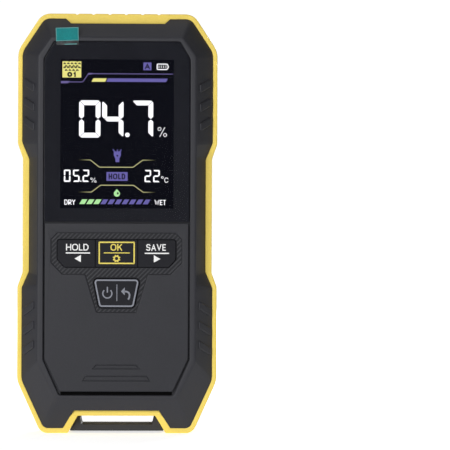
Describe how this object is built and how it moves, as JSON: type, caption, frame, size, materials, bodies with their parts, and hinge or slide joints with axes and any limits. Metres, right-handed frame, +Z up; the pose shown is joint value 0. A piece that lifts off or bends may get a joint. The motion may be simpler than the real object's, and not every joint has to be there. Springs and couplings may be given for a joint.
{
  "type": "moisture meter",
  "caption": "Hand-held pinless wood moisture meter with a colour display, push keys, a soft bumper, and a sensing plate and torch on its back.",
  "frame": {"origin": "under the middle of the case, on the plane the bumper's feet stand on", "axes": "+Z up the case, from the strap bar to the ribbed top; -Y out of the display side, +Y out of the sensing plate; X across the case"},
  "size_m": [0.0666, 0.0274, 0.14],
  "materials": {
    "charcoal_plastic": "fine grained, matte",
    "yellow_rubber": "soft satin",
    "dark_plastic": "matte",
    "cover_glass": "polished",
    "clear_film": "clear",
    "teal_film": "glossy",
    "display": "lit",
    "key_rubber": "satin",
    "sensor_gloss": "polished",
    "pad_rubber": "matte",
    "lamp_black": "satin",
    "lamp_clear": "clear",
    "silicone": "matte",
    "tape": "matte",
    "white_plastic": "matte",
    "circuit_board": "solder mask",
    "chip_black": "matte",
    "polyimide": "satin",
    "copper": "brushed",
    "steel": "satin",
    "black_steel": "black oxide",
    "cell_foil": "satin",
    "wire_sleeve": "satin",
    "sensor_bead": "glossy"
  },
  "bodies": {
    "case": {"front_shell": "charcoal_plastic", "rear_shell": "charcoal_plastic", "bumper_band": "yellow_rubber", "lanyard_bar": "dark_plastic", "front_panel": "charcoal_plastic", "screen_lens": "cover_glass", "screen_tape": "tape", "screen_film": "clear_film", "film_tab": "teal_film", "lcd_panel": "display", "lcd_backlight": "white_plastic", "display_frame": "white_plastic", "display_ribbon": "polyimide", "keypad_membrane": "silicone", "key_switches": "steel", "main_board": "circuit_board", "board_chips": "chip_black", "board_screws": "steel", "buzzer": "chip_black", "usb_socket": "steel", "thermistor": "sensor_bead", "battery_cell": "cell_foil", "battery_tape": "tape", "battery_plug": "white_plastic", "battery_lead": "wire_sleeve", "sensor_cover": "sensor_gloss", "sensor_tape": "tape", "sensor_board": "copper", "sensor_ribbon": "white_plastic", "lamp_bezel": "lamp_black", "lamp_led": "lamp_clear", "rear_pad_left": "pad_rubber", "rear_pad_right": "pad_rubber", "rear_pad_lower": "pad_rubber", "case_screws": "black_steel"},
    "hold_button": {"hold_key": "key_rubber"},
    "ok_button": {"ok_key": "key_rubber"},
    "save_button": {"save_key": "key_rubber"},
    "power_button": {"power_key": "key_rubber"}
  },
  "joints": [
    {"name": "hold_press", "type": "slide", "parent": "case", "child": "hold_button", "axis": [0, 1, 0], "range_m": [0, 0.0006], "stiffness_N_per_m": 1500},
    {"name": "ok_press", "type": "slide", "parent": "case", "child": "ok_button", "axis": [0, 1, 0], "range_m": [0, 0.0006], "stiffness_N_per_m": 1500},
    {"name": "save_press", "type": "slide", "parent": "case", "child": "save_button", "axis": [0, 1, 0], "range_m": [0, 0.0006], "stiffness_N_per_m": 1500},
    {"name": "power_press", "type": "slide", "parent": "case", "child": "power_button", "axis": [0, 1, 0], "range_m": [0, 0.0006], "stiffness_N_per_m": 1500}
  ]
}
